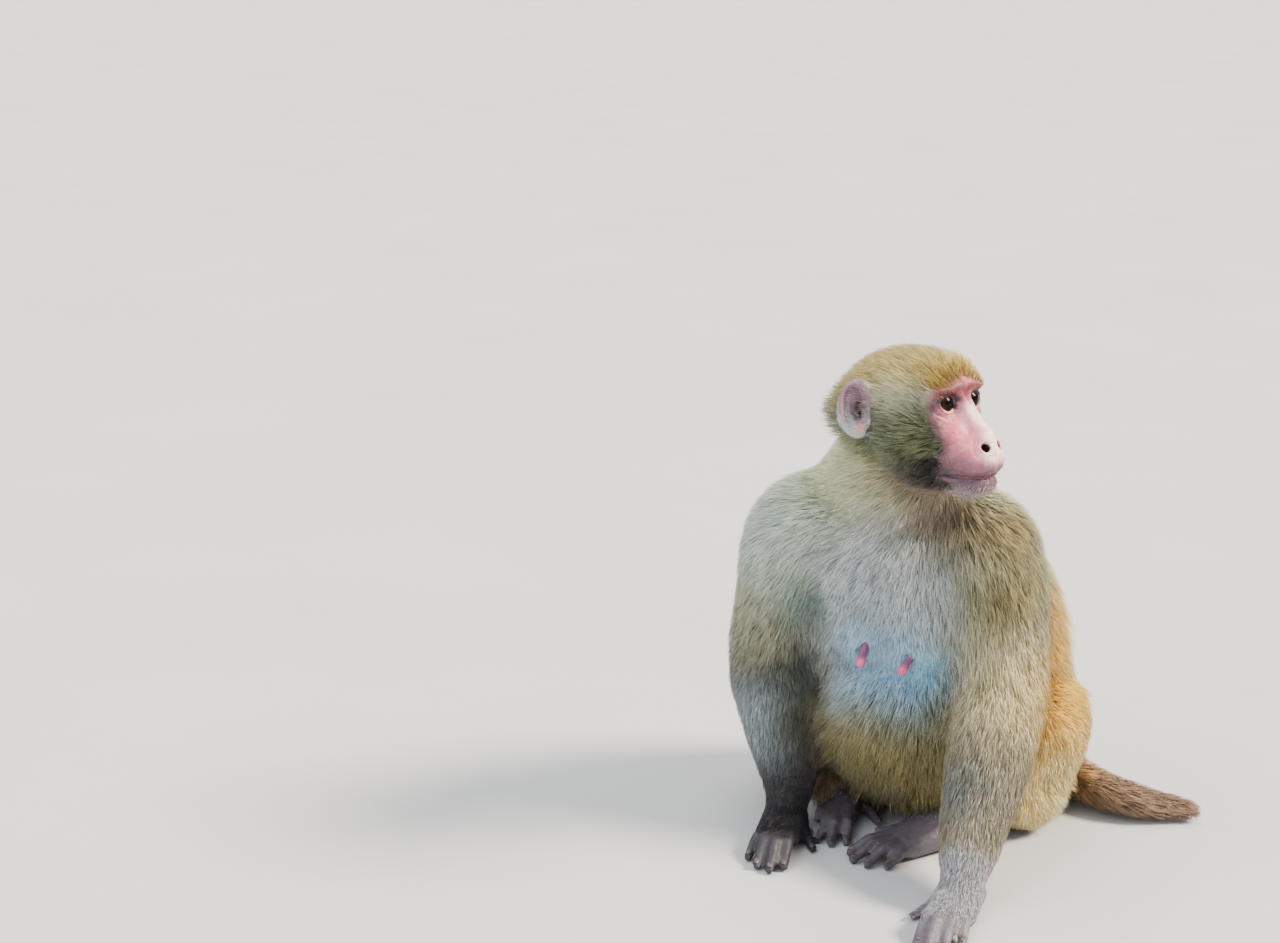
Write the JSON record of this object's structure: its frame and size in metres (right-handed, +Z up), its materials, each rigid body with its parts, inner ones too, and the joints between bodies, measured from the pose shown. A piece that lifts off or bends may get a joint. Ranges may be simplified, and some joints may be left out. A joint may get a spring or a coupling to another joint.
{
  "type": "seated macaque display model",
  "caption": "Life-size still model of a seated female rhesus macaque, hands on the ground, head turned to its left.",
  "frame": {"origin": "middle of the base of the bounding box, on the ground that the animal sits on", "axes": "+Z up, -Y the way the chest faces, +X towards the animal's left"},
  "size_m": [0.42, 0.407, 0.4488],
  "materials": {
    "olive_coat": "long soft hair",
    "grey_coat": "long soft hair",
    "golden_coat": "long soft hair",
    "face_skin": "bare pink skin with fine wrinkles",
    "dark_skin": "bare and thinly haired dark skin",
    "eye": "wet and glossy"
  },
  "bodies": {
    "root": {"head": "olive_coat", "neck": "olive_coat", "chest": "grey_coat", "belly": "golden_coat", "tail": "golden_coat", "ear_left": "face_skin", "ear_right": "face_skin", "eye_left": "eye", "eye_right": "eye", "nipple_left": "face_skin", "nipple_right": "face_skin", "upper_arm_left": "grey_coat", "upper_arm_right": "grey_coat", "forearm_left": "grey_coat", "forearm_right": "grey_coat", "hand_left": "dark_skin", "hand_right": "dark_skin", "thigh_left": "golden_coat", "thigh_right": "golden_coat", "shank_left": "golden_coat", "shank_right": "golden_coat", "foot_left": "dark_skin", "foot_right": "dark_skin", "seat_pad_left": "face_skin", "seat_pad_right": "face_skin"}
  },
  "joints": []
}
